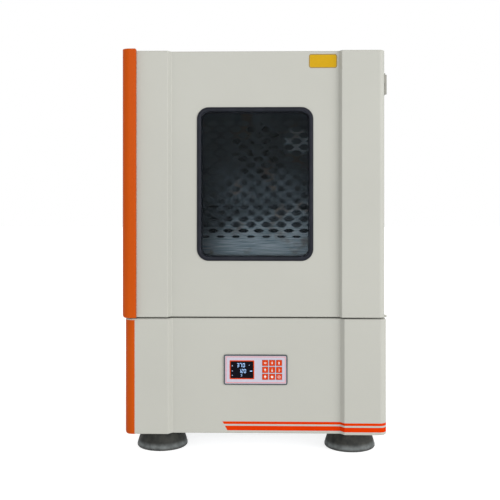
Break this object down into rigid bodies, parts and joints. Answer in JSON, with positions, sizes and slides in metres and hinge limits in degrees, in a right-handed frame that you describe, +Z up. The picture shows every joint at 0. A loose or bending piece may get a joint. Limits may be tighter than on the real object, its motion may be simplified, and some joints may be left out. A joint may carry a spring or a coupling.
{
  "type": "incubated orbital shaker",
  "caption": "Upright cooled incubator with an orbital shaking platform behind a full-width insulated door with a window, on a base that holds the drive, the compressor and the control panel.",
  "frame": {"origin": "on the floor, under the middle of the whole part", "axes": "+X to the right seen from the front, +Y to the back, +Z up"},
  "size_m": [0.6434, 0.7, 0.98],
  "materials": {
    "cream_paint": "satin",
    "zinc_sheet": "satin",
    "orange_plastic": "satin",
    "dark_rubber": "matte",
    "grey_rubber": "matte",
    "belt_rubber": "matte",
    "poured_foam": "matte",
    "stainless": "satin",
    "lamp_cover": "satin",
    "coil_fins": "satin",
    "cast_aluminium": "matte",
    "machined_steel": "satin",
    "belt_wheels": "satin",
    "motor_paint": "satin",
    "compressor_paint": "satin",
    "copper_pipe": "satin",
    "fan_plastic": "matte",
    "window_glass": "gloss",
    "dark_plastic": "matte",
    "fascia_film": "satin",
    "display_glass": "gloss",
    "board_laminate": "satin",
    "orange_keys": "satin",
    "rocker_plastic": "satin"
  },
  "bodies": {
    "cabinet": {"base_front_panel": "cream_paint", "base_side_panels": "cream_paint", "base_rear_panel": "cream_paint", "base_deck": "cream_paint", "upper_casing": "cream_paint", "rear_cover": "cream_paint", "base_pan": "zinc_sheet", "base_corner_trim": "orange_plastic", "rubber_feet": "dark_rubber", "drive_belt": "belt_rubber", "insulation_foam": "poured_foam", "chamber_liner": "stainless", "air_baffle": "stainless", "heater_element": "stainless", "temperature_probe": "stainless", "chamber_lamp": "lamp_cover", "evaporator_coil": "coil_fins", "condenser": "coil_fins", "drive_hub": "cast_aluminium", "idler_pedestals": "cast_aluminium", "drive_bearings": "machined_steel", "cabinet_hinges": "machined_steel", "drive_motor": "motor_paint", "fan_motors": "motor_paint", "compressor": "compressor_paint", "refrigerant_lines": "copper_pipe", "control_bezel": "dark_plastic", "mains_inlet": "dark_plastic", "control_fascia": "fascia_film", "display_module": "display_glass", "control_board": "board_laminate"},
    "door": {"door_skin": "cream_paint", "door_foam": "poured_foam", "door_liner": "stainless", "window_panes": "window_glass", "window_seals": "dark_rubber", "door_gasket": "grey_rubber", "door_grip": "orange_plastic", "door_hinge_leaves": "machined_steel"},
    "crank": {"crankshaft": "machined_steel", "crank_pulley": "belt_wheels"},
    "platform": {"platform_carrier": "cast_aluminium", "carrier_bearings": "machined_steel", "platform_tray": "stainless"},
    "motor_rotor": {"motor_pulley": "belt_wheels"},
    "impeller": {"circulation_impeller": "cast_aluminium"},
    "cooling_fan": {"condenser_fan": "fan_plastic"},
    "rocker": {"mains_rocker": "rocker_plastic"},
    "idler_1": {"idler_crank_1": "machined_steel"},
    "idler_2": {"idler_crank_2": "machined_steel"},
    "idler_3": {"idler_crank_3": "machined_steel"},
    "key_body_1": {"key_1": "orange_keys"},
    "key_body_2": {"key_2": "orange_keys"},
    "key_body_3": {"key_3": "orange_keys"},
    "key_body_4": {"key_4": "orange_keys"},
    "key_body_5": {"key_5": "orange_keys"},
    "key_body_6": {"key_6": "orange_keys"},
    "key_body_7": {"key_7": "orange_keys"},
    "key_body_8": {"key_8": "orange_keys"},
    "key_body_9": {"key_9": "orange_keys"}
  },
  "joints": [
    {"name": "door_swing", "type": "hinge", "parent": "cabinet", "child": "door", "pos_m": [0.317, -0.299, 0.65], "axis": [0, 0, 1], "range_deg": [0, 120]},
    {"name": "crank_turn", "type": "hinge", "parent": "cabinet", "child": "crank", "pos_m": [0, -0.027, 0.3], "axis": [0, 0, 1], "continuous": true},
    {"name": "platform_turn", "type": "hinge", "parent": "crank", "child": "platform", "pos_m": [0, -0.0395, 0.41], "axis": [0, 0, 1], "continuous": true},
    {"name": "rotor_turn", "type": "hinge", "parent": "cabinet", "child": "motor_rotor", "pos_m": [-0.188, -0.027, 0.27], "axis": [0, 0, 1], "continuous": true},
    {"name": "impeller_turn", "type": "hinge", "parent": "cabinet", "child": "impeller", "pos_m": [0, 0.256, 0.777], "axis": [0, 1, 0], "continuous": true},
    {"name": "fan_turn", "type": "hinge", "parent": "cabinet", "child": "cooling_fan", "pos_m": [-0.15, 0.26, 0.1382], "axis": [0, 1, 0], "continuous": true},
    {"name": "rocker_tip", "type": "hinge", "parent": "cabinet", "child": "rocker", "pos_m": [0.236, 0.341, 0.14], "axis": [1, 0, 0], "range_deg": [-16, 0]},
    {"name": "idler_turn_1", "type": "hinge", "parent": "cabinet", "child": "idler_1", "pos_m": [-0.15, -0.139, 0.39], "axis": [0, 0, 1], "continuous": true},
    {"name": "idler_turn_2", "type": "hinge", "parent": "cabinet", "child": "idler_2", "pos_m": [0.15, -0.139, 0.39], "axis": [0, 0, 1], "continuous": true},
    {"name": "idler_turn_3", "type": "hinge", "parent": "cabinet", "child": "idler_3", "pos_m": [0, 0.101, 0.39], "axis": [0, 0, 1], "continuous": true},
    {"name": "key_press_1", "type": "slide", "parent": "cabinet", "child": "key_body_1", "axis": [0, 1, 0], "range_m": [0, 0.0005], "stiffness_N_per_m": 300, "springref_m": -0.0003},
    {"name": "key_press_2", "type": "slide", "parent": "cabinet", "child": "key_body_2", "axis": [0, 1, 0], "range_m": [0, 0.0005], "stiffness_N_per_m": 300, "springref_m": -0.0003},
    {"name": "key_press_3", "type": "slide", "parent": "cabinet", "child": "key_body_3", "axis": [0, 1, 0], "range_m": [0, 0.0005], "stiffness_N_per_m": 300, "springref_m": -0.0003},
    {"name": "key_press_4", "type": "slide", "parent": "cabinet", "child": "key_body_4", "axis": [0, 1, 0], "range_m": [0, 0.0005], "stiffness_N_per_m": 300, "springref_m": -0.0003},
    {"name": "key_press_5", "type": "slide", "parent": "cabinet", "child": "key_body_5", "axis": [0, 1, 0], "range_m": [0, 0.0005], "stiffness_N_per_m": 300, "springref_m": -0.0003},
    {"name": "key_press_6", "type": "slide", "parent": "cabinet", "child": "key_body_6", "axis": [0, 1, 0], "range_m": [0, 0.0005], "stiffness_N_per_m": 300, "springref_m": -0.0003},
    {"name": "key_press_7", "type": "slide", "parent": "cabinet", "child": "key_body_7", "axis": [0, 1, 0], "range_m": [0, 0.0005], "stiffness_N_per_m": 300, "springref_m": -0.0003},
    {"name": "key_press_8", "type": "slide", "parent": "cabinet", "child": "key_body_8", "axis": [0, 1, 0], "range_m": [0, 0.0005], "stiffness_N_per_m": 300, "springref_m": -0.0003},
    {"name": "key_press_9", "type": "slide", "parent": "cabinet", "child": "key_body_9", "axis": [0, 1, 0], "range_m": [0, 0.0005], "stiffness_N_per_m": 300, "springref_m": -0.0003}
  ],
  "couplings": [
    {"joint": "platform_turn", "follows": "crank_turn", "ratio": -1},
    {"joint": "rotor_turn", "follows": "crank_turn", "ratio": 3.2},
    {"joint": "idler_turn_1", "follows": "crank_turn", "ratio": 1},
    {"joint": "idler_turn_2", "follows": "crank_turn", "ratio": 1},
    {"joint": "idler_turn_3", "follows": "crank_turn", "ratio": 1}
  ]
}
